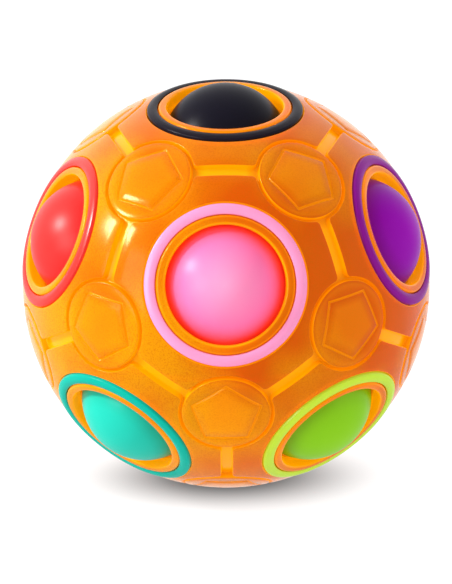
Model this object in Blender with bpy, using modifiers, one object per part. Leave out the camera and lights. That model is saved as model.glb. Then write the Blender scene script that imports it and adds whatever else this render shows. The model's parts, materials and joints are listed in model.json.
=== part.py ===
"""A twelve-hole ball puzzle: a see-through shell, coloured rings and coloured balls.

Metres, +Z up. The puzzle stands on the flat lip of its one empty hole, which faces
down, and the origin is the middle of that lip. The twelve holes are at the corners
of an icosahedron and the twenty discs are at its faces. Eleven holes hold a ball.
A ball presses inwards, and the ball next to the empty hole can swing across to it
behind the shell.
"""

import math

import bmesh
import bpy
from mathutils import Vector

MM = 0.001

# Shell, in millimetres. A height is measured from the sphere's centre along an axis.
SHELL_RADIUS = 35.0
SHELL_WALL = 2.7
LIP_HEIGHT = 33.3
LIP_OUTER_RADIUS = 11.05
HOLE_RADIUS = 9.75
SEAT_RADIUS = 9.6
SEAT_HEIGHT = 31.3
SEAT_CHAMFER_RADIUS = 10.7
SEAT_CHAMFER_HEIGHT = 30.2

# Coloured rings, pressed into grooves round the lips.
GROOVE_OUTER_RADIUS = 13.25
GROOVE_FLOOR_HEIGHT = 31.0
FIT_GAP = 0.3
RING_OUTER_TOP_HEIGHT = 32.9
RING_INNER_TOP_HEIGHT = 33.15

# Equator, where the two halves meet with a tongue in a rabbet.
SEAM_GAP = 0.3
TONGUE_WIDTH = 0.8
TONGUE_RISE = 1.5

# Decoration on the shell: round discs, and channels that run from disc to disc.
DISC_RADIUS = 7.5
DISC_GROOVE_WIDTH = 0.6
DISC_GROOVE_FLOOR_HEIGHT = 33.3
CHANNEL_WIDTH = 1.9
CHANNEL_FLOOR_HEIGHT = 33.75

# Balls and core.
BALL_RADIUS = 10.6
BALL_DISTANCE = 26.0
CORE_RADIUS = 7.0
CORE_WALL = 1.2

# The transfer ball leaves its hole this far off its own axis, on a circular path.
LEAVING_ANGLE = 25.0

# Facets.
SHELL_STEPS = 40
SHELL_ARC_STEPS = 10
HOLE_STEPS = 20
DISC_STEPS = 12
CORE_STEPS = 12
CORE_ARC_STEPS = 3
BALL_SEGMENTS = 14
BALL_RINGS = 9
CUTTER_REACH = 38.0

# The holes in rings of five: an upper ring, and a lower ring that sits between.
RING_LATITUDE = math.degrees(math.atan(0.5))
FIFTH_TURN = 72.0
UPPER_START = -90.0
LOWER_START = -126.0
UPPER_COLOURS = ("pink", "purple", "blue", "yellow", "red")
LOWER_COLOURS = ("teal", "lime", "sky_blue", "orange", "white")
TOP_COLOUR = "black"
EMPTY_COLOUR = "brown"
TRANSFER_COLOUR = "orange"

RING_PAINTS = {
    "black": (0.017, 0.015, 0.023),
    "pink": (1.0, 0.30, 0.62),
    "purple": (0.35, 0.026, 0.38),
    "blue": (0.02, 0.09, 0.55),
    "yellow": (1.0, 0.72, 0.02),
    "red": (1.0, 0.07, 0.04),
    "teal": (0.0, 0.51, 0.42),
    "lime": (0.54, 0.84, 0.06),
    "sky_blue": (0.10, 0.45, 0.85),
    "orange": (1.0, 0.25, 0.01),
    "white": (0.86, 0.86, 0.84),
    "brown": (0.16, 0.06, 0.03),
}
BALL_PAINTS = {
    **RING_PAINTS,
    "pink": (1.0, 0.19, 0.46),
    "purple": (0.35, 0.01, 0.46),
    "red": (0.95, 0.07, 0.05),
    "teal": (0.03, 0.67, 0.54),
    "lime": (0.26, 0.60, 0.01),
}
SHELL_PAINT = (1.0, 0.27, 0.01)
CORE_PAINT = (0.80, 0.78, 0.74)


def polar(latitude, azimuth):
    """A unit vector from angles in degrees."""
    up, turn = math.radians(latitude), math.radians(azimuth)
    return Vector(
        (math.cos(up) * math.cos(turn), math.cos(up) * math.sin(turn), math.sin(up))
    )


def hole_axes():
    """Each hole's colour and outward axis."""
    axes = {TOP_COLOUR: Vector((0, 0, 1)), EMPTY_COLOUR: Vector((0, 0, -1))}
    for step in range(5):
        turn = step * FIFTH_TURN
        axes[UPPER_COLOURS[step]] = polar(RING_LATITUDE, UPPER_START + turn)
        axes[LOWER_COLOURS[step]] = polar(-RING_LATITUDE, LOWER_START + turn)
    return axes


def disc_axes(holes):
    """The middle of every three holes that are neighbours of each other."""
    neighbour = math.cos(math.radians(64.0))
    corners = list(holes.values())
    found = []
    for i, a in enumerate(corners):
        for j in range(i + 1, len(corners)):
            for k in range(j + 1, len(corners)):
                b, c = corners[j], corners[k]
                if min(a.dot(b), b.dot(c), c.dot(a)) > neighbour:
                    found.append((a + b + c).normalized())
    return found


def channel_frames(discs):
    """The middle, and the direction along the shell, of each channel between discs."""
    neighbour = math.cos(math.radians(42.0))
    return [
        ((a + b).normalized(), (b - a).normalized())
        for i, a in enumerate(discs)
        for b in discs[i + 1 :]
        if a.dot(b) > neighbour
    ]


def make_material(name, colour, roughness, transmission=0.0):
    material = bpy.data.materials.new(name)
    material.use_nodes = True
    shader = material.node_tree.nodes["Principled BSDF"]
    shader.inputs["Base Color"].default_value = (*colour, 1.0)
    shader.inputs["Roughness"].default_value = roughness
    shader.inputs["Metallic"].default_value = 0.0
    shader.inputs["Transmission Weight"].default_value = transmission
    material.diffuse_color = (*colour, 1.0)
    return material


def add_object(name, mesh, collection, material=None):
    """An object for the mesh; one without a material is a cutter."""
    obj = bpy.data.objects.new(name, mesh)
    collection.objects.link(obj)
    if material:
        mesh.materials.append(material)
    else:
        obj.hide_render = True
        obj.display_type = "WIRE"
    return obj


def turned(name, profile, steps, collection, material=None):
    """A profile of (radius, height) points turned about the object's own Z.

    The profile runs down its outer side. It closes on itself unless it starts and
    ends on the axis.
    """
    mesh = bpy.data.meshes.new(name)
    count = len(profile)
    edges = [(i, i + 1) for i in range(count - 1)]
    if profile[0][0] > 0:
        edges.append((count - 1, 0))
    mesh.from_pydata([(r * MM, 0, h * MM) for r, h in profile], edges, [])
    obj = add_object(name, mesh, collection, material)
    screw = obj.modifiers.new("turn", "SCREW")
    screw.steps = screw.render_steps = steps
    screw.use_merge_vertices = True
    screw.merge_threshold = 0.00001
    screw.use_smooth_shade = material is not None
    return obj


def arc(radius, start, end, steps):
    """Points of (radius, height) on a circle round the centre, between two latitudes."""
    turns = [math.radians(start + (end - start) * i / steps) for i in range(steps + 1)]
    return [(radius * math.cos(t), radius * math.sin(t)) for t in turns]


def on_axis(points):
    """The same points with the first and last moved exactly onto the axis."""
    return [(0.0, points[0][1]), *points[1:-1], (0.0, points[-1][1])]


def latitude_at(radius, height):
    return math.degrees(math.asin(height / radius))


def upper_shell_profile():
    inner = SHELL_RADIUS - SHELL_WALL
    rabbet = inner + TONGUE_WIDTH + FIT_GAP
    seam = SEAM_GAP / 2
    step = TONGUE_RISE + FIT_GAP
    outside = arc(SHELL_RADIUS, 90, latitude_at(SHELL_RADIUS, seam), SHELL_ARC_STEPS)
    inside = arc(inner, latitude_at(inner, step), 90, SHELL_ARC_STEPS)
    return on_axis([*outside, (rabbet, seam), (rabbet, step), *inside])


def lower_shell_profile():
    inner = SHELL_RADIUS - SHELL_WALL
    tongue = inner + TONGUE_WIDTH
    seam = -SEAM_GAP / 2
    inside = arc(inner, -90, latitude_at(inner, TONGUE_RISE), SHELL_ARC_STEPS)
    outside = arc(SHELL_RADIUS, latitude_at(SHELL_RADIUS, seam), -90, SHELL_ARC_STEPS)
    return on_axis([*inside, (tongue, TONGUE_RISE), (tongue, seam), *outside])


def hole_cutter_profile():
    """The bore, its chamfered seat, the flat of the lip and the ring's groove."""
    return [
        (0.0, CUTTER_REACH),
        (GROOVE_OUTER_RADIUS, CUTTER_REACH),
        (GROOVE_OUTER_RADIUS, GROOVE_FLOOR_HEIGHT),
        (LIP_OUTER_RADIUS, GROOVE_FLOOR_HEIGHT),
        (LIP_OUTER_RADIUS, LIP_HEIGHT),
        (HOLE_RADIUS, LIP_HEIGHT),
        (SEAT_RADIUS, SEAT_HEIGHT),
        (SEAT_CHAMFER_RADIUS, SEAT_CHAMFER_HEIGHT),
        (0.0, SEAT_CHAMFER_HEIGHT - 2.0),
    ]


def disc_groove_profile():
    inner = DISC_RADIUS - DISC_GROOVE_WIDTH / 2
    outer = DISC_RADIUS + DISC_GROOVE_WIDTH / 2
    return [
        (outer, CUTTER_REACH),
        (outer, DISC_GROOVE_FLOOR_HEIGHT),
        (inner, DISC_GROOVE_FLOOR_HEIGHT),
        (inner, CUTTER_REACH),
    ]


def ring_profile():
    """A coloured ring: its top slopes outward, and it stands a little above the shell."""
    outer = GROOVE_OUTER_RADIUS - FIT_GAP
    inner = LIP_OUTER_RADIUS + FIT_GAP
    floor = GROOVE_FLOOR_HEIGHT + FIT_GAP
    return [
        (inner, RING_INNER_TOP_HEIGHT),
        (outer - 0.35, RING_OUTER_TOP_HEIGHT),
        (outer, RING_OUTER_TOP_HEIGHT - 0.3),
        (outer, floor),
        (inner, floor),
    ]


def core_profile():
    """Half of the hollow core, with its open side down."""
    inner = CORE_RADIUS - CORE_WALL
    rim = SEAM_GAP / 2
    outside = arc(CORE_RADIUS, 90, latitude_at(CORE_RADIUS, rim), CORE_ARC_STEPS)
    inside = arc(inner, latitude_at(inner, rim), 90, CORE_ARC_STEPS)
    return on_axis([*outside, *inside])


def place(obj, parent, location=(0.0, 0.0, 0.0), axis=None):
    """Put an object under a parent, with its Z along an axis."""
    obj.parent = parent
    obj.location = location
    if axis:
        obj.rotation_mode = "QUATERNION"
        obj.rotation_quaternion = axis.to_track_quat("Z", "Y")


def make_channel_cutter(name, middle, along, parent, collection):
    """A box that sinks a flat-floored channel between two discs."""
    mesh = bpy.data.meshes.new(name)
    bm = bmesh.new()
    bmesh.ops.create_cube(bm, size=1.0)
    half_turn = math.radians(41.81 / 2)
    reach = SHELL_RADIUS * math.sin(half_turn) - DISC_RADIUS * math.cos(half_turn)
    depth = CUTTER_REACH - CHANNEL_FLOOR_HEIGHT
    size = Vector((2 * reach, CHANNEL_WIDTH, depth)) * MM
    bmesh.ops.scale(bm, verts=bm.verts, vec=size)
    raise_by = Vector((0, 0, (CHANNEL_FLOOR_HEIGHT + depth / 2) * MM))
    bmesh.ops.translate(bm, verts=bm.verts, vec=raise_by)
    bm.to_mesh(mesh)
    bm.free()
    cutter = add_object(name, mesh, collection)
    cutter.parent = parent
    across = middle.cross(along)
    turn = cutter.matrix_basis.to_3x3()
    turn.col[0], turn.col[1], turn.col[2] = along, across, middle
    cutter.rotation_mode = "QUATERNION"
    cutter.rotation_quaternion = turn.to_quaternion()


def make_cutters(half, sign, holes, centre, scene_cutters):
    """All the cutters that reach the half of the shell on the sign's side."""
    group = bpy.data.collections.new(half + "_cutters")
    scene_cutters.children.link(group)
    discs = disc_axes(holes)
    for colour, axis in holes.items():
        if axis.z * sign > 0:
            profile = hole_cutter_profile()
            cutter = turned(f"cut_{colour}_hole", profile, HOLE_STEPS, group)
            place(cutter, centre, axis=axis)
    for number, axis in enumerate(discs):
        if axis.z * sign > -0.3:
            profile = disc_groove_profile()
            name = f"cut_{half}_disc_{number}"
            place(turned(name, profile, DISC_STEPS, group), centre, axis=axis)
    for number, (middle, along) in enumerate(channel_frames(discs)):
        if middle.z * sign > -0.1:
            name = f"cut_{half}_channel_{number}"
            make_channel_cutter(name, middle, along, centre, group)
    return group


def make_shell_half(half, sign, profile, holes, centre, parts, scene_cutters, paint):
    shell = turned(half + "_shell", profile, SHELL_STEPS, parts, paint)
    place(shell, centre)
    cut = shell.modifiers.new("holes", "BOOLEAN")
    cut.operation = "DIFFERENCE"
    cut.solver = "EXACT"
    cut.operand_type = "COLLECTION"
    cut.collection = make_cutters(half, sign, holes, centre, scene_cutters)


def make_ball(colour, location, parent, parts):
    mesh = bpy.data.meshes.new("ball_" + colour)
    bm = bmesh.new()
    bmesh.ops.create_uvsphere(
        bm,
        u_segments=BALL_SEGMENTS,
        v_segments=BALL_RINGS,
        radius=BALL_RADIUS * MM,
    )
    bm.to_mesh(mesh)
    bm.free()
    mesh.shade_smooth()
    paint = make_material(f"{colour}_ball_plastic", BALL_PAINTS[colour], 0.22)
    place(add_object("ball_" + colour, mesh, parts, paint), parent, location)


def make_empty(name, parent, location, parts):
    empty = bpy.data.objects.new(name, None)
    parts.objects.link(empty)
    empty.parent = parent
    empty.location = location
    return empty


def transfer_pivot(start, end):
    """The centre of the transfer ball's circular path."""
    half_spread = start.angle(end) / 2
    half_chord = BALL_DISTANCE * math.sin(half_spread)
    half_turn = math.pi / 2 - half_spread - math.radians(LEAVING_ANGLE)
    path_radius = half_chord / math.sin(half_turn)
    chord_distance = BALL_DISTANCE * math.cos(half_spread)
    distance = chord_distance + path_radius * math.cos(half_turn)
    return (start + end).normalized() * distance * MM


def main():
    for obj in list(bpy.data.objects):
        bpy.data.objects.remove(obj)
    parts = bpy.data.collections.new("ball_puzzle")
    scene_cutters = bpy.data.collections.new("cutters")
    for collection in (parts, scene_cutters):
        bpy.context.scene.collection.children.link(collection)

    holes = hole_axes()
    centre = make_empty("centre", None, (0, 0, LIP_HEIGHT * MM), parts)
    pivot_at = transfer_pivot(holes[TRANSFER_COLOUR], holes[EMPTY_COLOUR])
    pivot = make_empty("transfer_pivot", centre, pivot_at, parts)

    paint = make_material("orange_clear_plastic", SHELL_PAINT, 0.2, 0.5)
    for half, sign, profile in (
        ("upper", 1, upper_shell_profile()),
        ("lower", -1, lower_shell_profile()),
    ):
        make_shell_half(half, sign, profile, holes, centre, parts, scene_cutters, paint)

    for colour, axis in holes.items():
        paint = make_material(f"{colour}_ring_plastic", RING_PAINTS[colour], 0.35)
        ring = turned(f"ring_{colour}", ring_profile(), HOLE_STEPS, parts, paint)
        place(ring, centre, axis=axis)
        seat = axis * BALL_DISTANCE * MM
        if colour == TRANSFER_COLOUR:
            make_ball(colour, seat - pivot_at, pivot, parts)
        elif colour != EMPTY_COLOUR:
            make_ball(colour, seat, centre, parts)

    core_paint = make_material("core_plastic", CORE_PAINT, 0.4)
    for half, axis in (("upper", Vector((0, 0, 1))), ("lower", Vector((0, 0, -1)))):
        name = f"core_{half}_half"
        core = turned(name, core_profile(), CORE_STEPS, parts, core_paint)
        place(core, centre, axis=axis)


main()
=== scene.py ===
"""Looks of the twelve-hole ball puzzle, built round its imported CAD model.

The fine shell is made from one wedge, the piece of a sphere between the middle of a
hole, the middle of a channel and the middle of a disc. A hundred and twenty turned
and mirrored copies of the wedge, and one patch for the top of each disc, close into
the whole shell, which is then parted at its equator.
"""

import json
import math

import bmesh
import bpy
import numpy as np
from mathutils import Matrix, Vector
from mathutils.geometry import delaunay_2d_cdt

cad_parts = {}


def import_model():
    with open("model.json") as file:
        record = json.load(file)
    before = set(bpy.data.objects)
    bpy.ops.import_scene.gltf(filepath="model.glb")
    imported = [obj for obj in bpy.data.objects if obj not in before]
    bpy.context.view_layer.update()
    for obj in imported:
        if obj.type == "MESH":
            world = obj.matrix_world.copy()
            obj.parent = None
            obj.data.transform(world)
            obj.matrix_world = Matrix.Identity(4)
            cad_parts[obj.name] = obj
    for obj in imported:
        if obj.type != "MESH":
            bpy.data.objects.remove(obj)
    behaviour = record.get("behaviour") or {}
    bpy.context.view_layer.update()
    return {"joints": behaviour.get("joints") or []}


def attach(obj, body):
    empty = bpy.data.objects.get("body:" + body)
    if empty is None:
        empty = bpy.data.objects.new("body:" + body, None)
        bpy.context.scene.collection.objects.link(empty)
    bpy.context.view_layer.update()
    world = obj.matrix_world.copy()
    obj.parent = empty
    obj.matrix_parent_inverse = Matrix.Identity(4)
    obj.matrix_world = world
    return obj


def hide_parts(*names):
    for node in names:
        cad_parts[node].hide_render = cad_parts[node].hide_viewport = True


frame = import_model()

MM = 0.001

# The shell, in millimetres from the sphere's centre, as in the CAD model.
SHELL_RADIUS = 35.0
INNER_RADIUS = 32.3
FLOOR_RADIUS = 33.98
LIP_HEIGHT = 33.3
BALL_RADIUS = 10.6
BALL_DISTANCE = 26.0
CORE_RADIUS = 7.0
CORE_WALL = 1.2
SEAM_HALF_GAP = 0.005
MERGE_DISTANCE = 0.004

# Angles of the pattern on the sphere, in radians.
HOLE_SPREAD = math.atan(2.0)
HOLE_TO_CHANNEL = HOLE_SPREAD / 2
TENTH_TURN = math.pi / 5
SIXTH_TURN = math.pi / 3
GOLDEN = (1 + math.sqrt(5)) / 2
CHANNEL_TO_DISC = math.atan(1 / GOLDEN**2)
HOLE_TO_DISC = math.acos(math.cos(HOLE_TO_CHANNEL) * math.cos(CHANNEL_TO_DISC))
# Two holes are neighbours when the dot product of their axes is above this.
NEIGHBOURS = math.cos(HOLE_SPREAD + 0.01)

# Channels, the grooves round the discs, and the top of a disc with its pentagon.
CHANNEL_HALF_WIDTH = 0.95
GROOVE_OUTER = 7.75
GROOVE_MIDDLE = 7.5
CORNER_RADIUS = 0.8
PATCH_RADIUS = 6.6
PATCH_STEP = math.radians(6)
PENTAGON_RADIUS = 5.9

# Each point of the shell has a painted glow, which is painted light: 0 on a plain panel,
# 1 or more where light would gather, in channels, grooves, edges and down the holes.
FLOOR_PAINTED_GLOW = 1.0
GROOVE_SHARE = 0.45
GROOVE_FADE = 1.5
PATCH_PAINTED_GLOW = 0.13
PENTAGON_PAINTED_GLOW = 0.2

# The edge of a panel, as (inset into the panel, radius of the surface, painted glow).
PANEL_EDGE = (
    (0.15, 35.0, 0.0),
    (0.08, 34.98, 0.3),
    (0.03, 34.93, 0.8),
    (0.0, 34.82, 1.0),
    (-0.04, 34.2, 1.0),
    (-0.1, 34.03, 1.0),
    (-0.24, FLOOR_RADIUS, FLOOR_PAINTED_GLOW),
)
# The edge of a disc, as (distance from its middle, radius of the surface, painted glow).
DISC_EDGE = (
    (7.3, 34.03, 0.45),
    (7.24, 34.2, 0.5),
    (7.2, 34.8, 0.8),
    (7.17, 34.93, 0.6),
    (7.12, 34.98, 0.2),
    (7.04, 35.0, 0.0),
)
# The engraved pentagon on a disc, as (offset of its outline, depth, painted glow).
PENTAGON_LINES = (
    (0.26, 0.0, 0.0),
    (0.19, 0.04, 0.3),
    (0.09, 0.32, 0.5),
    (-0.09, 0.32, 0.5),
    (-0.19, 0.04, 0.3),
    (-0.26, 0.0, 0.0),
)


def on_sphere(r):
    """The height of the outside of the sphere at a distance from a hole's axis."""
    return math.sqrt(SHELL_RADIUS**2 - r**2)


# From the panel down the ring's groove, over the lip and down the hole to its seat,
# as (distance from the hole's axis, height, painted glow).
HOLE_PROFILE = (
    (13.34, on_sphere(13.34), 0.0),
    (13.24, on_sphere(13.24) - 0.02, 0.4),
    (13.16, on_sphere(13.16) - 0.08, 0.9),
    (13.12, on_sphere(13.12) - 0.22, 1.0),
    (13.1, 31.4, 1.0),
    (13.02, 31.2, 0.8),
    (12.85, 31.15, 0.6),
    (11.3, 31.15, 0.3),
    (11.16, 31.22, 0.2),
    (11.12, 31.4, 0.2),
    (11.1, 32.8, 0.2),
    (11.05, 33.02, 0.3),
    (10.93, 33.17, 0.4),
    (10.75, 33.27, 0.15),
    (10.55, LIP_HEIGHT, 0.1),
    (10.1, LIP_HEIGHT, 0.15),
    (9.93, 33.27, 0.5),
    (9.81, 33.17, 1.0),
    (9.75, 33.0, 1.1),
    (9.68, 32.3, 1.2),
    (9.62, 31.6, 1.3),
    (9.6, 31.3, 1.4),
    (9.63, 31.1, 1.4),
    (9.75, 30.92, 1.4),
    (10.2, math.sqrt(INNER_RADIUS**2 - 10.2**2), 1.4),
)

# How finely each stretch of the wedge is divided.
HOLE_STEPS = 12
CHANNEL_STEPS = 9
CORNER_STEPS = 5
DISC_STEPS = 12
BESIDE_CHANNEL_STEPS = 3
INNER_STEPS = 7
PENTAGON_STEPS = 8
PANEL_FILLS = (0.12, 0.35, 0.65)
PENTAGON_FILLS = ((0.66, 5), (0.33, 2))
# Smaller faces than these are slivers along a straight line, and are left out.
LEAST_FLAT_AREA = 1e-8
LEAST_PATCH_AREA = 1e-6
# Faces within this share of the ring's circle belong to the hole.
JUST_INSIDE = 0.9995

# The coloured rings.
RING_OUTER = 12.98
RING_INNER = 11.24
RING_FLOOR = 31.25
RING_INNER_TOP = 33.08
RING_SLOPE = 0.3
RING_DOME = 0.22
RING_EDGE_RADIUS = 0.28
RING_TOP_STEPS = 6
RING_STEPS = 120
# A rounded corner takes no more than this share of each side beside it.
CORNER_SHARE = 0.45
CORNER_CURVE_STEPS = 4

# The balls: cuts along each side of the cube that a ball is rounded from, the dent of
# the gate on the inner side, and where the rim's painted shade is fully reached.
BALL_CUTS = 23
GATE_DEPTH = 0.12
GATE_ANGLE = 6.5
RIM_ANGLE = 65

# The core's halves, with their rims and poles as latitudes in degrees.
CORE_STEPS = 64
CORE_OUTER_POINTS = 16
CORE_INNER_POINTS = 12
CORE_RIM = 0.2
CORE_INNER_RIM = 0.6
CORE_POLE = 88

# Edges of the rings and the core that turn by more than this are shaded sharp.
SHARP_ANGLE = math.radians(30)


def polar(latitude, azimuth):
    """A unit vector from angles in degrees."""
    up, turn = math.radians(latitude), math.radians(azimuth)
    level = math.cos(up)
    return Vector((level * math.cos(turn), level * math.sin(turn), math.sin(up)))


# The holes: one on top, one underneath, which is empty, and two rings of five.
TOP_COLOUR = "black"
EMPTY_COLOUR = "brown"
UPPER_COLOURS = ("pink", "purple", "blue", "yellow", "red")
LOWER_COLOURS = ("teal", "lime", "sky_blue", "orange", "white")
UPPER_START = -90
LOWER_START = -126
FIFTH_TURN = 72


def hole_axes():
    """Each hole's colour and outward axis."""
    latitude = math.degrees(math.atan(0.5))
    axes = {TOP_COLOUR: Vector((0, 0, 1)), EMPTY_COLOUR: Vector((0, 0, -1))}
    for step in range(5):
        turn = FIFTH_TURN * step
        axes[UPPER_COLOURS[step]] = polar(latitude, UPPER_START + turn)
        axes[LOWER_COLOURS[step]] = polar(-latitude, LOWER_START + turn)
    return axes


HOLES = hole_axes()
# The core turns about the sphere's centre.
CENTRE = Vector(
    next(j["pos_m"] for j in frame["joints"] if j["name"] == "core_spin")
)


class Wedge:
    """The wedge's own axes: Z through the hole, and X towards the channel."""

    def __init__(self):
        a = HOLE_TO_CHANNEL
        channel = np.array((math.sin(a), 0, math.cos(a)))
        c, t = HOLE_TO_DISC, TENTH_TURN
        self.disc = np.array(
            (math.sin(c) * math.cos(t), math.sin(c) * math.sin(t), math.cos(c))
        )
        self.across = np.array((-math.cos(a), 0, math.sin(a)))
        along = channel - channel @ self.disc * self.disc
        self.along = along / np.linalg.norm(along)
        self.points = []
        self.painted_glows = []
        self.faces = []

    def near_disc(self, x, y, radius):
        """The point over (x, y) in the disc's plane, moved along its radius."""
        z = math.sqrt(SHELL_RADIUS**2 - x * x - y * y)
        point = x * self.along + y * self.across + z * self.disc
        return point * radius / SHELL_RADIUS

    def arc_round_disc(self, reach, angles, radius):
        """Points at the same distance from the disc's middle, one for each angle."""
        return [
            self.near_disc(reach * math.cos(a), reach * math.sin(a), radius)
            for a in angles
        ]

    def add(self, point, painted_glow):
        self.points.append(point)
        self.painted_glows.append(painted_glow)
        return len(self.points) - 1

    def add_line(self, points, painted_glow):
        return [self.add(p, painted_glow) for p in points]


def corner_centre():
    """Where the rounded corner between a channel and a disc has its middle."""
    y = CHANNEL_HALF_WIDTH + CORNER_RADIUS
    return math.sqrt((GROOVE_OUTER + CORNER_RADIUS) ** 2 - y * y), y


def groove_painted_glow(x, y, painted_glow):
    """A groove round a disc has less painted glow than a channel does, away from the
    disc.
    """
    away = (math.hypot(x, y) - GROOVE_OUTER) / GROOVE_FADE
    return painted_glow * (GROOVE_SHARE + (1 - GROOVE_SHARE) * min(1, max(0, away)))


def outline(inset):
    """Half of a panel's outline in one wedge, in the disc's plane."""
    y0 = CHANNEL_HALF_WIDTH + inset
    x0 = math.sqrt(SHELL_RADIUS**2 - y0 * y0) * math.sin(CHANNEL_TO_DISC)
    xc, yc = corner_centre()
    points = [(x, y0) for x in np.linspace(x0, xc, CHANNEL_STEPS + 1)]
    turn = math.atan2(yc, xc)
    r = CORNER_RADIUS - inset
    for a in np.linspace(1.5 * math.pi, math.pi + turn, CORNER_STEPS + 1)[1:]:
        points.append((xc + r * math.cos(a), yc + r * math.sin(a)))
    s = GROOVE_OUTER + inset
    for a in np.linspace(turn, SIXTH_TURN, DISC_STEPS + 1)[1:]:
        points.append((s * math.cos(a), s * math.sin(a)))
    return points


def disc_angles():
    """Angles round a disc from the channel's middle to the hole's direction."""
    xc, yc = corner_centre()
    turn = math.atan2(yc, xc)
    beside = np.linspace(turn, SIXTH_TURN, DISC_STEPS + 1)[1:]
    return [*np.linspace(0, turn, BESIDE_CHANNEL_STEPS + 1), *beside]


def flat(point):
    """Central projection onto the plane that touches the sphere at the hole."""
    return Vector((point[0] / point[2], point[1] / point[2]))


def lifted(tangent, turn, radius):
    """The point on a sphere whose central projection is at a distance and an angle."""
    spot = np.array((tangent * math.cos(turn), tangent * math.sin(turn), 1.0))
    return spot * radius / np.linalg.norm(spot)


def arc_round_hole(reach, turns, height):
    """Points at the same distance from the hole's axis, one for each angle."""
    return [np.array((reach * math.cos(t), reach * math.sin(t), height)) for t in turns]


def reach_at(line, turn):
    """How far from the hole's axis a flat line is, in the direction of an angle."""
    for a, b in zip(line, line[1:]):
        ta, tb = math.atan2(a.y, a.x), math.atan2(b.y, b.x)
        if ta - 1e-9 <= turn <= tb + 1e-9:
            share = (turn - ta) / max(tb - ta, 1e-12)
            return a.lerp(b, share).length
    return line[-1].length


def add_panel_edge(wedge):
    """The lines along a panel's edge, from the panel down to the channel's floor."""
    return [
        [
            wedge.add(wedge.near_disc(x, y, radius), groove_painted_glow(x, y, painted_glow))
            for x, y in outline(inset)
        ]
        for inset, radius, painted_glow in PANEL_EDGE
    ]


def add_disc_edge(wedge, corner):
    """The lines round a disc, from the middle of its groove to the edge of its patch."""
    angles = disc_angles()
    beside = angles[:BESIDE_CHANNEL_STEPS]
    middle = wedge.arc_round_disc(GROOVE_MIDDLE, beside, FLOOR_RADIUS)
    lines = [[*wedge.add_line(middle, groove_painted_glow(0, 0, FLOOR_PAINTED_GLOW)), corner]]
    for reach, radius, painted_glow in DISC_EDGE:
        arc = wedge.arc_round_disc(reach, angles, radius)
        lines.append(wedge.add_line(arc, painted_glow))
    patch_angles = np.linspace(0, SIXTH_TURN, round(SIXTH_TURN / PATCH_STEP) + 1)
    arc = wedge.arc_round_disc(PATCH_RADIUS, patch_angles, SHELL_RADIUS)
    lines.append(wedge.add_line(arc, PATCH_PAINTED_GLOW))
    return lines


def add_channel_floor(wedge):
    """The line along the middle of a channel, up to the disc's groove."""
    middle = SHELL_RADIUS * math.sin(CHANNEL_TO_DISC)
    return [
        wedge.add(wedge.near_disc(x, 0, FLOOR_RADIUS), groove_painted_glow(x, 0, FLOOR_PAINTED_GLOW))
        for x in np.linspace(middle, GROOVE_MIDDLE, CHANNEL_STEPS + 1)[:-1]
    ]


def add_panel_fill(wedge, edge_ids, inner, turns):
    """Lines of points on a panel, between the ring's circle and the panel's edge."""
    edge = [flat(wedge.points[i]) for i in edge_ids]
    lines = []
    for share in PANEL_FILLS:
        line = []
        for t in turns:
            outer = reach_at(edge, t) if t else edge[0].length
            tangent = inner + (outer - inner) * share
            line.append(wedge.add(lifted(tangent, t, SHELL_RADIUS), 0.0))
        lines.append(line)
    return lines


def add_outside_faces(wedge, lines, inner):
    """Triangles between the lines, except over the hole and over the disc's patch."""
    spots = [flat(p) for p in wedge.points]
    edges = [pair for line in lines for pair in zip(line, line[1:])]
    out = delaunay_2d_cdt(spots, edges, [], 0, 1e-7)
    new_spots, faces = out[0], out[2]
    assert len(new_spots) == len(spots), "two lines of the wedge cross"
    ids = [sources[0] for sources in out[3]]
    keep_in = PATCH_RADIUS * math.cos(PATCH_STEP / 2)
    for face in faces:
        a, b, c = (new_spots[i] for i in face)
        middle = (a + b + c) / 3
        area = (b - a).cross(c - a) / 2
        if abs(area) < LEAST_FLAT_AREA or middle.length < inner * JUST_INSIDE:
            continue
        spot = np.array((middle.x, middle.y, 1.0))
        spot *= SHELL_RADIUS / np.linalg.norm(spot)
        if np.linalg.norm(np.cross(spot, wedge.disc)) < keep_in:
            continue
        ordered = face if area > 0 else face[::-1]
        wedge.faces.append((tuple(ids[i] for i in ordered), "outside"))


def build_outside(wedge):
    """The outside of the shell in a wedge: panel, channel, groove and disc edge."""
    panel = add_panel_edge(wedge)
    disc = add_disc_edge(wedge, panel[-1][CHANNEL_STEPS + CORNER_STEPS])
    floor = add_channel_floor(wedge)
    r, h, painted_glow = HOLE_PROFILE[0]
    turns = np.linspace(0, TENTH_TURN, HOLE_STEPS + 1)
    circle = wedge.add_line(arc_round_hole(r, turns, h), painted_glow)
    inner = math.tan(math.asin(r / SHELL_RADIUS))
    fill = add_panel_fill(wedge, panel[0], inner, turns)
    to_channel = [line[0] for line in (circle, *fill, *panel, floor)]
    to_disc = [line[-1] for line in (circle, *fill, *panel, *disc[1:])]
    along_channel = [*floor, *(line[0] for line in disc)]
    lines = [*panel, *disc, along_channel, circle, to_channel, to_disc]
    add_outside_faces(wedge, lines, inner)
    return circle


def build_hole(wedge, circle):
    """The ring's groove, the lip, the hole and the inside of the shell in a wedge."""
    turns = np.linspace(0, TENTH_TURN, HOLE_STEPS + 1)
    last = circle
    for r, h, painted_glow in HOLE_PROFILE[1:]:
        ids = wedge.add_line(arc_round_hole(r, turns, h), painted_glow)
        join_lines(wedge, last, ids, "outside")
        last = ids
    start = math.tan(math.asin(HOLE_PROFILE[-1][0] / INNER_RADIUS))
    for step in range(1, INNER_STEPS + 1):
        ids = []
        for t in turns:
            end = math.tan(HOLE_TO_CHANNEL) / math.cos(t)
            tangent = start + (end - start) * step / INNER_STEPS
            ids.append(wedge.add(lifted(tangent, t, INNER_RADIUS), 0.0))
        join_lines(wedge, last, ids, "inside")
        last = ids


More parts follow.
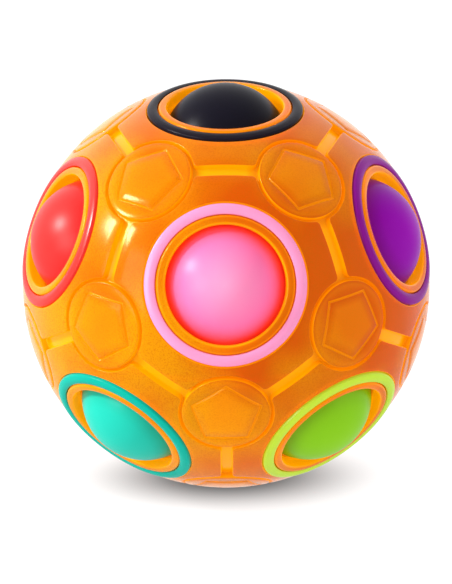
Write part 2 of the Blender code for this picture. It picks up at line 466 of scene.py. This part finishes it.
def join_lines(wedge, a, b, side):
    """Quads from one line of points to the next, which is nearer the hole or inside."""
    for i in range(len(a) - 1):
        wedge.faces.append(((a[i], a[i + 1], b[i + 1], b[i]), side))


def make_wedge():
    """A wedge with the outside, the hole and the inside of the shell."""
    wedge = Wedge()
    build_hole(wedge, build_outside(wedge))
    return wedge


def discs():
    """Each disc's axis, with the axes of the three holes round it."""
    axes = list(HOLES.values())
    found = []
    for i, a in enumerate(axes):
        for j in range(i + 1, len(axes)):
            for k in range(j + 1, len(axes)):
                b, c = axes[j], axes[k]
                if min(a.dot(b), b.dot(c), c.dot(a)) > NEIGHBOURS:
                    found.append(((a + b + c).normalized(), (a, b, c)))
    return found


def wedge_turns():
    """The turn that takes the wedge to each of its places, and whether it mirrors."""
    for hole in HOLES.values():
        for other in HOLES.values():
            if other is hole or hole.dot(other) < NEIGHBOURS:
                continue
            x = (other - hole * hole.dot(other)).normalized()
            for side in (1, -1):
                y = hole.cross(x) * side
                yield np.array((x, y, hole)).T, side < 0


def pentagon_direction(holes):
    """The hole that a disc's pentagon points at: the odd one out by its height."""
    low, middle, high = sorted(holes, key=lambda h: h.z)
    return high if high.z - middle.z > middle.z - low.z else low


def regular(radius, count):
    """The corners of a regular polygon."""
    turns = [2 * math.pi * i / count for i in range(count)]
    return [Vector((math.cos(t), math.sin(t))) * radius for t in turns]


def patch_loops():
    """The closed lines of a patch, as (corners, points on a side, depth, painted glow).
    """
    yield regular(PATCH_RADIUS, round(2 * math.pi / PATCH_STEP)), 1, 0.0, PATCH_PAINTED_GLOW
    for offset, depth, painted_glow in PENTAGON_LINES:
        size = PENTAGON_RADIUS + offset / math.cos(TENTH_TURN)
        yield regular(size, 5), PENTAGON_STEPS, depth, painted_glow
    for share, per_side in PENTAGON_FILLS:
        yield regular(PENTAGON_RADIUS * share, 5), per_side, 0.0, PENTAGON_PAINTED_GLOW


def patch_plan():
    """The top of a disc, laid flat: its points, their depths and painted glows, and
    faces.
    """
    spots, depths, painted_glows, edges = [], [], [], []
    for corners, per_side, depth, painted_glow in patch_loops():
        first = len(spots)
        for a, b in zip(corners, corners[1:] + corners[:1]):
            spots.extend(a.lerp(b, step / per_side) for step in range(per_side))
        count = len(spots) - first
        depths.extend([depth] * count)
        painted_glows.extend([painted_glow] * count)
        edges.extend((first + i, first + (i + 1) % count) for i in range(count))
    out = delaunay_2d_cdt(spots, edges, [], 0, 1e-5)
    assert len(out[0]) == len(spots), "two lines of the patch cross"
    ids = [sources[0] for sources in out[3]]
    faces = []
    for face in out[2]:
        a, b, c = (out[0][i] for i in face)
        area = (b - a).cross(c - a)
        if abs(area) > LEAST_PATCH_AREA:
            ordered = face if area > 0 else face[::-1]
            faces.append((tuple(ids[i] for i in ordered), "outside"))
    return spots, depths, painted_glows, faces


def patch_points(disc, holes, spots, depths):
    """A patch's points on the sphere, with its pentagon turned towards a hole."""
    point_to = pentagon_direction(holes)
    x = (point_to - disc * disc.dot(point_to)).normalized()
    y = disc.cross(x)
    points = []
    for spot, depth in zip(spots, depths):
        z = math.sqrt(SHELL_RADIUS**2 - spot.length_squared)
        point = x * spot.x + y * spot.y + disc * z
        points.append(point * (SHELL_RADIUS - depth) / SHELL_RADIUS)
    return points


def add_copy(bm, points, painted_glows, faces, mirrored=False):
    """Add points and smooth faces to the shell. The inside has the second material."""
    layer = bm.verts.layers.float["painted_glow"]
    verts = []
    for point, painted_glow in zip(points, painted_glows):
        vert = bm.verts.new(Vector(point) * MM)
        vert[layer] = painted_glow
        verts.append(vert)
    for ids, side in faces:
        order = ids[::-1] if mirrored else ids
        face = bm.faces.new([verts[i] for i in order])
        face.material_index = 1 if side == "inside" else 0
        face.smooth = True


def whole_shell():
    """The closed shell, both halves in one, as a bmesh in metres from its centre."""
    bm = bmesh.new()
    bm.verts.layers.float.new("painted_glow")
    wedge = make_wedge()
    points = np.array(wedge.points)
    for turn, mirrored in wedge_turns():
        add_copy(bm, points @ turn.T, wedge.painted_glows, wedge.faces, mirrored)
    spots, depths, painted_glows, faces = patch_plan()
    for disc, holes in discs():
        add_copy(bm, patch_points(disc, holes, spots, depths), painted_glows, faces)
    bmesh.ops.remove_doubles(bm, verts=bm.verts, dist=MERGE_DISTANCE * MM)
    return bm


def shell_half(whole, name, side, materials):
    """One half of the shell, cut at the equator and closed across the cut."""
    bm = whole.copy()
    bmesh.ops.bisect_plane(
        bm,
        geom=[*bm.verts, *bm.edges, *bm.faces],
        dist=1e-7,
        plane_co=(0, 0, side * SEAM_HALF_GAP * MM),
        plane_no=(0, 0, side),
        clear_inner=True,
    )
    rim = [e for e in bm.edges if e.is_boundary]
    for edge in rim:
        edge.smooth = False
    bmesh.ops.triangle_fill(bm, edges=rim, use_beauty=True, normal=(0, 0, -side))
    mesh = bpy.data.meshes.new(name)
    bm.to_mesh(mesh)
    bm.free()
    obj = add_object(name, mesh, materials)
    obj.location = CENTRE
    return obj


def add_object(name, mesh, materials):
    obj = bpy.data.objects.new(name, mesh)
    bpy.context.scene.collection.objects.link(obj)
    for material in materials:
        mesh.materials.append(material)
    return obj


def turned(name, profile, steps, axis, material):
    """A closed profile of (distance, height) points, turned round an axis."""
    bm = bmesh.new()
    turn = axis.to_track_quat("Z", "Y").to_matrix()
    rows = []
    for step in range(steps):
        a = 2 * math.pi * step / steps
        spots = [Vector((r * math.cos(a), r * math.sin(a), h)) for r, h in profile]
        rows.append([bm.verts.new(turn @ spot * MM) for spot in spots])
    for step in range(steps):
        a, b = rows[step], rows[(step + 1) % steps]
        for i in range(len(profile)):
            j = (i + 1) % len(profile)
            bm.faces.new((a[i], a[j], b[j], b[i]))
    bmesh.ops.recalc_face_normals(bm, faces=bm.faces)
    mesh = bpy.data.meshes.new(name)
    bm.to_mesh(mesh)
    bm.free()
    mesh.shade_smooth()
    mesh.set_sharp_from_angle(angle=SHARP_ANGLE)
    obj = add_object(name, mesh, [material])
    obj.location = CENTRE
    return obj


def round_corners(points, radius):
    """The closed line with each corner replaced by an arc-like curve."""
    out = []
    count = len(points)
    for i in range(count):
        before, here, after = (Vector(points[(i + k) % count]) for k in (-1, 0, 1))
        reach_a = min(radius, (before - here).length * CORNER_SHARE)
        reach_b = min(radius, (after - here).length * CORNER_SHARE)
        a = here + (before - here).normalized() * reach_a
        b = here + (after - here).normalized() * reach_b
        for step in range(CORNER_CURVE_STEPS + 1):
            t = step / CORNER_CURVE_STEPS
            out.append(a * (1 - t) ** 2 + here * 2 * t * (1 - t) + b * t * t)
    return [tuple(p) for p in out]


def ring_profile():
    """A coloured ring: its domed top stands a little above the panels round it."""
    top = []
    for step in range(RING_TOP_STEPS + 1):
        across = step / RING_TOP_STEPS
        r = RING_INNER + across * (RING_OUTER - RING_INNER)
        dome = RING_DOME * math.sin(math.pi * across)
        top.append((r, RING_INNER_TOP - RING_SLOPE * across + dome))
    return [(RING_INNER, RING_FLOOR), *top, (RING_OUTER, RING_FLOOR)]


def make_ring(colour, axis, material):
    rounded = round_corners(ring_profile(), RING_EDGE_RADIUS)
    return turned(colour + "_ring", rounded, RING_STEPS, axis, material)


def make_ball(colour, axis, material):
    """A moulded ball, with the shallow mark of its gate on the side that never shows."""
    bm = bmesh.new()
    bmesh.ops.create_cube(bm, size=2.0)
    bmesh.ops.subdivide_edges(bm, edges=bm.edges, cuts=BALL_CUTS, use_grid_fill=True)
    turn = axis.to_track_quat("Z", "Y").to_matrix()
    for vert in bm.verts:
        x, y, z = (math.tan(c * math.pi / 4) for c in vert.co)
        direction = Vector((x, y, z)).normalized()
        gate = math.degrees(direction.angle(Vector((0, 0, -1))))
        dent = GATE_DEPTH * max(0.0, 1 - (gate / GATE_ANGLE) ** 2)
        vert.co = turn @ direction * (BALL_RADIUS - dent) * MM
    mesh = bpy.data.meshes.new(colour + "_ball")
    bm.to_mesh(mesh)
    bm.free()
    mesh.shade_smooth()
    # Painted shade: the rim value grows from the ball's top towards its seat.
    rim = mesh.attributes.new("rim", "FLOAT", "POINT")
    for vert, value in zip(mesh.vertices, rim.data):
        away = math.degrees(vert.co.angle(axis))
        value.value = min(1.0, away / RIM_ANGLE)
    obj = add_object(colour + "_ball", mesh, [material])
    obj.location = CENTRE + axis * BALL_DISTANCE * MM
    return obj


def arc_profile(radius, first, last, count):
    """Points of a profile along an arc, between two latitudes in degrees."""
    turns = np.radians(np.linspace(first, last, count))
    return [(radius * math.cos(t), radius * math.sin(t)) for t in turns]


def make_core_half(name, side, material):
    """Half of the hollow core: a cup, open at the pole by a pinhole."""
    inner = CORE_RADIUS - CORE_WALL
    outside = arc_profile(CORE_RADIUS, CORE_RIM, CORE_POLE, CORE_OUTER_POINTS)
    inside = arc_profile(inner, CORE_POLE, CORE_INNER_RIM, CORE_INNER_POINTS)
    return turned(name, outside + inside, CORE_STEPS, Vector((0, 0, side)), material)


# Materials.

BLACK = (0.0, 0.0, 0.0, 1.0)
WHITE = (1.0, 1.0, 1.0, 1.0)


def srgb(r, g, b):
    """A display colour from 0 to 255 as the linear colour that Blender uses."""
    def lin(c):
        c /= 255
        return c / 12.92 if c <= 0.04045 else ((c + 0.055) / 1.055) ** 2.4
    return (lin(r), lin(g), lin(b), 1.0)


def new_material(name):
    material = bpy.data.materials.new(name)
    material.use_nodes = True
    tree = material.node_tree
    return material, tree, tree.nodes["Principled BSDF"]


def add_node(tree, kind, **values):
    """A node with values for some of its inputs or its own settings."""
    node = tree.nodes.new(kind)
    for key, value in values.items():
        if key in node.inputs:
            node.inputs[key].default_value = value
        else:
            setattr(node, key, value)
    return node


def noise(tree, scale, detail=3.0, rough=0.5):
    """Noise in the piece's own space, at a scale in features per metre."""
    place = tree.nodes.new("ShaderNodeTexCoord")
    texture = add_node(tree, "ShaderNodeTexNoise", Scale=scale, Detail=detail)
    texture.inputs["Roughness"].default_value = rough
    tree.links.new(place.outputs["Object"], texture.inputs["Vector"])
    return texture.outputs["Fac"]


def ramp(tree, value, low, high, start=0.0, end=1.0):
    """A value moved from the range start to end onto the range low to high."""
    node = add_node(tree, "ShaderNodeMapRange")
    node.inputs["From Min"].default_value = start
    node.inputs["From Max"].default_value = end
    node.inputs["To Min"].default_value = low
    node.inputs["To Max"].default_value = high
    tree.links.new(value, node.inputs["Value"])
    return node.outputs["Result"]


def mix(tree, factor, a, b):
    """A colour between two colours, each value given or coming from a node.

    Inputs 6 and 7 and output 2 are the node's colours, after its numbers and vectors.
    """
    node = tree.nodes.new("ShaderNodeMix")
    node.data_type = "RGBA"
    sockets = (node.inputs[0], factor), (node.inputs[6], a), (node.inputs[7], b)
    for socket, value in sockets:
        if isinstance(value, (float, tuple)):
            socket.default_value = value
        else:
            tree.links.new(value, socket)
    return node.outputs[2]


def bump(tree, shader, height, strength, distance):
    """Fine relief on a surface, from a height between 0 and 1."""
    node = add_node(tree, "ShaderNodeBump", Strength=strength, Distance=distance)
    tree.links.new(height, node.inputs["Height"])
    tree.links.new(node.outputs["Normal"], shader.inputs["Normal"])


# The shell's plastic: its lit and shaded tints, painted shade for the side away from the
# key light; its fine frost; the painted glow of its edges and grooves, and the painted
# light that it gives off; and the tint of its reflections.
SHELL_LIT_TINT = (0.8, 0.37, 0.0005, 1.0)
SHELL_SHADED_TINT = (0.66, 0.074, 0.0003, 1.0)
SHELL_FROST = (0.52, 0.09, 0.0003, 1.0)
SHELL_PAINTED_GLOW = (0.95, 0.4, 0.0003, 1.0)
SHELL_PAINTED_LIGHT = (1.0, 0.38, 0.0, 1.0)
SHELL_REFLECTION = (1.0, 0.5, 0.06, 1.0)
# Painted shade: the tint is deepest on the side that faces this way, away from the key
# light.
PAINTED_SHADE_SIDE = (0.85, -0.35, 0.4)


def shell_tint(tree):
    """The plastic's colour: painted shade on the side away from the key, clouds and
    frost.
    """
    place = tree.nodes.new("ShaderNodeTexCoord")
    outward = add_node(tree, "ShaderNodeVectorMath", operation="NORMALIZE")
    side = add_node(tree, "ShaderNodeVectorMath", operation="DOT_PRODUCT")
    side.inputs[1].default_value = PAINTED_SHADE_SIDE
    tree.links.new(place.outputs["Object"], outward.inputs[0])
    tree.links.new(outward.outputs["Vector"], side.inputs[0])
    cloud = ramp(tree, noise(tree, 55.0, 2.0), -0.55, 0.55, 0.35, 0.65)
    painted_shade_and_cloud = add_node(tree, "ShaderNodeMath", operation="ADD")
    tree.links.new(side.outputs["Value"], painted_shade_and_cloud.inputs[0])
    tree.links.new(cloud, painted_shade_and_cloud.inputs[1])
    # Painted shade: how far each point leans to the shaded side, with the random cloud
    # added.
    depth = ramp(tree, painted_shade_and_cloud.outputs["Value"], 0, 1, -0.6, 0.95)
    frost = ramp(tree, noise(tree, 4200.0, 2.0), 0, 0.5, 0.45, 0.66)
    tint = mix(tree, depth, SHELL_LIT_TINT, SHELL_SHADED_TINT)
    return mix(tree, frost, tint, SHELL_FROST)


def shell_outside_material():
    """Clear orange plastic, with painted glow on its edges and grooves and painted light
    given off.
    """
    material, tree, shader = new_material("shell_outside")
    painted_glow = tree.nodes.new("ShaderNodeAttribute")
    painted_glow.attribute_name = "painted_glow"
    # Painted glow: the colour turns yellower where the painted glow is high.
    colour = mix(tree, painted_glow.outputs["Fac"], shell_tint(tree), SHELL_PAINTED_GLOW)
    tree.links.new(colour, shader.inputs["Base Color"])
    grain = noise(tree, 2600.0, 2.0)
    tree.links.new(ramp(tree, grain, 0.12, 0.22), shader.inputs["Roughness"])
    shader.inputs["IOR"].default_value = 1.42
    shader.inputs["Specular IOR Level"].default_value = 0.2
    shader.inputs["Specular Tint"].default_value = SHELL_REFLECTION
    shader.inputs["Coat Weight"].default_value = 0.11
    shader.inputs["Coat Roughness"].default_value = 0.16
    shader.inputs["Transmission Weight"].default_value = 0.4
    # Painted light: the outside gives off a faint light everywhere, more where it glows.
    shader.inputs["Emission Color"].default_value = SHELL_PAINTED_LIGHT
    painted_light_strength = ramp(tree, painted_glow.outputs["Fac"], 0.08, 0.95, 0, 3)
    tree.links.new(painted_light_strength, shader.inputs["Emission Strength"])
    bump(tree, shader, grain, 0.1, 0.0001)
    return material


def shell_inside_material():
    """The frosted inside of the shell, which gives off painted light for the light that
    comes in.
    """
    material, tree, shader = new_material("shell_inside")
    frost = noise(tree, 1800.0, 4.0)
    tree.links.new(shell_tint(tree), shader.inputs["Base Color"])
    tree.links.new(ramp(tree, frost, 0.35, 0.6), shader.inputs["Roughness"])
    shader.inputs["IOR"].default_value = 1.5
    shader.inputs["Specular IOR Level"].default_value = 0.15
    shader.inputs["Specular Tint"].default_value = SHELL_REFLECTION
    shader.inputs["Transmission Weight"].default_value = 0.6
    # Painted light: the inside gives off light evenly, in place of the light that comes
    # through.
    shader.inputs["Emission Color"].default_value = SHELL_PAINTED_LIGHT
    shader.inputs["Emission Strength"].default_value = 0.25
    bump(tree, shader, frost, 0.3, 0.0002)
    return material


def shades(tree, attribute, stops):
    """Colours along a mesh attribute, given as (value, colour)."""
    source = tree.nodes.new("ShaderNodeAttribute")
    source.attribute_name = attribute
    node = tree.nodes.new("ShaderNodeValToRGB")
    elements = node.color_ramp.elements
    while len(elements) < len(stops):
        elements.new(0.5)
    for element, (place, colour) in zip(elements, stops):
        element.position = place
        element.color = colour
    tree.links.new(source.outputs["Fac"], node.inputs["Fac"])
    return node.outputs["Color"]


def solid_plastic(name, colour, roughness, level, stops=None):
    """Solid coloured plastic: faint flow marks, fine grain and a satin gloss."""
    material, tree, shader = new_material(name)
    cloud = noise(tree, 60.0, 4.0)
    # For a ball, the stops paint shade and the shell's light deeper towards its seat.
    plain = shades(tree, "rim", stops) if stops else colour
    darker = mix(tree, 0.08, plain, BLACK)
    flow = mix(tree, ramp(tree, cloud, 0, 1, 0.3, 0.7), plain, darker)
    tree.links.new(flow, shader.inputs["Base Color"])
    grain = noise(tree, 3500.0, 2.0)
    tree.links.new(ramp(tree, grain, *roughness), shader.inputs["Roughness"])
    shader.inputs["IOR"].default_value = 1.5
    shader.inputs["Specular IOR Level"].default_value = level
    shader.inputs["Subsurface Weight"].default_value = 0.12
    shader.inputs["Subsurface Radius"].default_value = (1.0, 0.6, 0.5)
    shader.inputs["Subsurface Scale"].default_value = 0.0012
    bump(tree, shader, grain, 0.05, 0.00005)
    return material


RING_COLOURS = {
    "black": srgb(24, 18, 28),
    "pink": srgb(242, 146, 190),
    "purple": srgb(132, 10, 134),
    "blue": srgb(34, 70, 170),
    "yellow": srgb(245, 195, 30),
    "red": srgb(230, 45, 38),
    "teal": srgb(0, 172, 152),
    "lime": srgb(190, 222, 45),
    "sky_blue": srgb(75, 150, 210),
    "orange": srgb(235, 110, 20),
    "white": srgb(215, 215, 212),
    "brown": srgb(100, 58, 40),
}
BALL_COLOURS = {
    **RING_COLOURS,
    "black": srgb(18, 16, 27),
    "pink": srgb(248, 154, 194),
    "purple": srgb(150, 2, 172),
    "red": srgb(230, 45, 42),
    "teal": srgb(18, 198, 175),
    "lime": srgb(138, 204, 0),
}


# A ball's colour where it meets its seat: painted shade, with the shell's orange light
# painted in.
BALL_PAINTED_RIMS = {
    "pink": srgb(252, 62, 80),
    "purple": srgb(88, 6, 112),
    "blue": srgb(24, 46, 130),
    "yellow": srgb(245, 140, 5),
    "red": srgb(215, 20, 22),
    "teal": srgb(10, 150, 125),
    "lime": srgb(95, 160, 0),
    "sky_blue": srgb(50, 110, 175),
    "orange": srgb(230, 75, 5),
    "white": srgb(235, 165, 115),
}

# Where a ball's four colours sit, from its top to its seat, and the two between. The
# deeper colours towards the seat are painted shade.
BALL_STOPS = (0.0, 0.6, 0.85, 1.0)
SHARES_BETWEEN = (0.2, 0.6)
PINK_BETWEEN = srgb(248, 112, 168), srgb(250, 86, 128)

CORE_COLOUR = srgb(205, 200, 190)

# Roughness from and to, and specular levels, with lower levels for the colours that
# would look washed out.
RING_ROUGHNESS = 0.2, 0.3
BALL_ROUGHNESS = 0.3, 0.4
CORE_ROUGHNESS = 0.4, 0.55
RING_LEVEL, DULL_RING_LEVEL = 0.4, 0.1
BALL_LEVEL, DULL_BALL_LEVEL = 0.22, 0.08
CORE_LEVEL = 0.18
DULL_RINGS = ("black", "purple", "teal")
DULL_BALLS = ("black", "purple")


def ball_stops(colour):
    """A ball's colours from its top to its seat, deepened as painted shade. Pink goes
    through a deeper pink.
    """
    top = BALL_COLOURS[colour]
    rim = BALL_PAINTED_RIMS.get(colour, top)
    if colour == "pink":
        between = PINK_BETWEEN
    else:
        between = [
            tuple(a + share * (b - a) for a, b in zip(top, rim))
            for share in SHARES_BETWEEN
        ]
    return tuple(zip(BALL_STOPS, (top, *between, rim)))


# Each light's name, place in metres, size, watts, and whether gloss mirrors it.
LIGHTS = (
    ("key", (-0.54, -0.06, 0.40), 0.13, 4.2, True),
    ("left", (-0.55, -0.45, 0.28), 0.36, 2.3, True),
    ("right", (0.60, -0.25, 0.20), 0.6, 2.2, False),
)
# The world is brightest this way, and shines at these strengths.
BRIGHT_WAY = (0.0, 0.95, 0.3)
WORLD_STRENGTHS = 0.5, 1.2
FLOOR_SIZE = 6.0
FLOOR_DROP = 0.00005
# The floor's shadow: an oval, wider than it is deep, that fades between two radii.
SHADOW_WIDTH = 2.2
SHADOW_PLACE = 0.0085
SHADOW_RADII = 0.0015, 0.014
SHADOW_PAPER = (0.02, 0.02, 0.02, 1.0)
PAPER = (0.12, 0.12, 0.12, 1.0)


def world():
    """White surroundings, brighter behind and above the object."""
    surroundings = bpy.data.worlds.new("studio")
    surroundings.use_nodes = True
    tree = surroundings.node_tree
    background = tree.nodes["Background"]
    background.inputs["Color"].default_value = WHITE
    around = tree.nodes.new("ShaderNodeTexCoord")
    behind = add_node(tree, "ShaderNodeVectorMath", operation="DOT_PRODUCT")
    behind.inputs[1].default_value = BRIGHT_WAY
    tree.links.new(around.outputs["Generated"], behind.inputs[0])
    strength = ramp(tree, behind.outputs["Value"], *WORLD_STRENGTHS, 0.2, 0.85)
    tree.links.new(strength, background.inputs["Strength"])
    bpy.context.scene.world = surroundings


def floor_paper():
    """Paper that shines by itself, except for a soft oval shadow."""
    material, tree, shader = new_material("floor_paper")
    shader.inputs["Roughness"].default_value = 0.9
    shader.inputs["Specular IOR Level"].default_value = 0.1
    shader.inputs["Emission Color"].default_value = WHITE
    place = tree.nodes.new("ShaderNodeTexCoord")
    spread = add_node(tree, "ShaderNodeVectorMath", operation="MULTIPLY_ADD")
    spread.inputs[1].default_value = (1 / SHADOW_WIDTH, 1, 1)
    spread.inputs[2].default_value = (0, SHADOW_PLACE, 0)
    reach = add_node(tree, "ShaderNodeVectorMath", operation="LENGTH")
    tree.links.new(place.outputs["Object"], spread.inputs[0])
    tree.links.new(spread.outputs["Vector"], reach.inputs[0])
    light = ramp(tree, reach.outputs["Value"], 0.06, 1.0, *SHADOW_RADII)
    light.node.interpolation_type = "SMOOTHSTEP"
    tree.links.new(light, shader.inputs["Emission Strength"])
    paper = mix(tree, light, SHADOW_PAPER, PAPER)
    tree.links.new(paper, shader.inputs["Base Color"])
    return material


def studio():
    """A floor lit from within, white surroundings and soft light from the left."""
    bpy.context.scene.view_settings.view_transform = "Standard"
    world()
    bpy.ops.mesh.primitive_plane_add(size=FLOOR_SIZE, location=(0, 0, -FLOOR_DROP))
    floor = bpy.context.object
    floor.name = "floor"
    floor.data.materials.append(floor_paper())
    floor.visible_glossy = False

    for name, place, size, power, mirrored in LIGHTS:
        data = bpy.data.lights.new(name, "AREA")
        data.size = size
        data.energy = power
        light = bpy.data.objects.new(name, data)
        bpy.context.scene.collection.objects.link(light)
        light.location = place
        light.visible_glossy = mirrored
        toward = CENTRE - Vector(place)
        light.rotation_euler = toward.to_track_quat("-Z", "Y").to_euler()


# The camera's direction and roll, its distance and shift in metres, and its lens.
CAMERA_ELEVATION = math.radians(26.96)
CAMERA_TURN = math.radians(0.27)
CAMERA_ROLL = math.radians(-0.44)
CAMERA_DISTANCE = 0.4024
CAMERA_LENS = 143.6
CAMERA_SENSOR = 36.0
CAMERA_DROP = 0.00134
CAMERA_SHIFT = 0.00005


def camera():
    e, a = CAMERA_ELEVATION, CAMERA_TURN
    back = Vector((math.sin(a) * math.cos(e), -math.cos(a) * math.cos(e), math.sin(e)))
    level = Vector((math.cos(a), math.sin(a), 0))
    roll = Matrix.Rotation(CAMERA_ROLL, 3, back)
    right = roll @ level
    up = back.cross(right)
    data = bpy.data.cameras.new("camera")
    data.lens = CAMERA_LENS
    data.sensor_width = CAMERA_SENSOR
    obj = bpy.data.objects.new("camera", data)
    bpy.context.scene.collection.objects.link(obj)
    turn = Matrix((right, up, back)).transposed().to_4x4()
    aim = CENTRE - up * CAMERA_DROP - right * CAMERA_SHIFT
    obj.matrix_world = Matrix.Translation(aim + back * CAMERA_DISTANCE) @ turn
    bpy.context.scene.camera = obj


def build_shell():
    materials = [shell_outside_material(), shell_inside_material()]
    whole = whole_shell()
    for half, side in (("upper", 1), ("lower", -1)):
        piece = shell_half(whole, half + "_clear_shell", side, materials)
        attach(piece, "shell")
        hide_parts(half + "_shell")
    whole.free()


def build_ring(colour, axis):
    level = DULL_RING_LEVEL if colour in DULL_RINGS else RING_LEVEL
    name = colour + "_ring"
    paint = solid_plastic(name, RING_COLOURS[colour], RING_ROUGHNESS, level)
    ring = make_ring(colour, axis, paint)
    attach(ring, "shell")
    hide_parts("ring_" + colour)


def build_ball(colour, axis):
    level = DULL_BALL_LEVEL if colour in DULL_BALLS else BALL_LEVEL
    name, stops = colour + "_ball", ball_stops(colour)
    paint = solid_plastic(name, BALL_COLOURS[colour], BALL_ROUGHNESS, level, stops)
    ball = make_ball(colour, axis, paint)
    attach(ball, "ball_" + colour)
    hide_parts("ball_" + colour)


def build_core():
    paint = solid_plastic("core", CORE_COLOUR, CORE_ROUGHNESS, CORE_LEVEL)
    for half, side in (("upper", 1), ("lower", -1)):
        piece = make_core_half(f"core_{half}_cup", side, paint)
        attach(piece, "core")
        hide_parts(f"core_{half}_half")


def build():
    camera()
    studio()
    build_shell()
    for colour, axis in HOLES.items():
        build_ring(colour, axis)
        if colour != EMPTY_COLOUR:
            build_ball(colour, axis)
    build_core()


build()
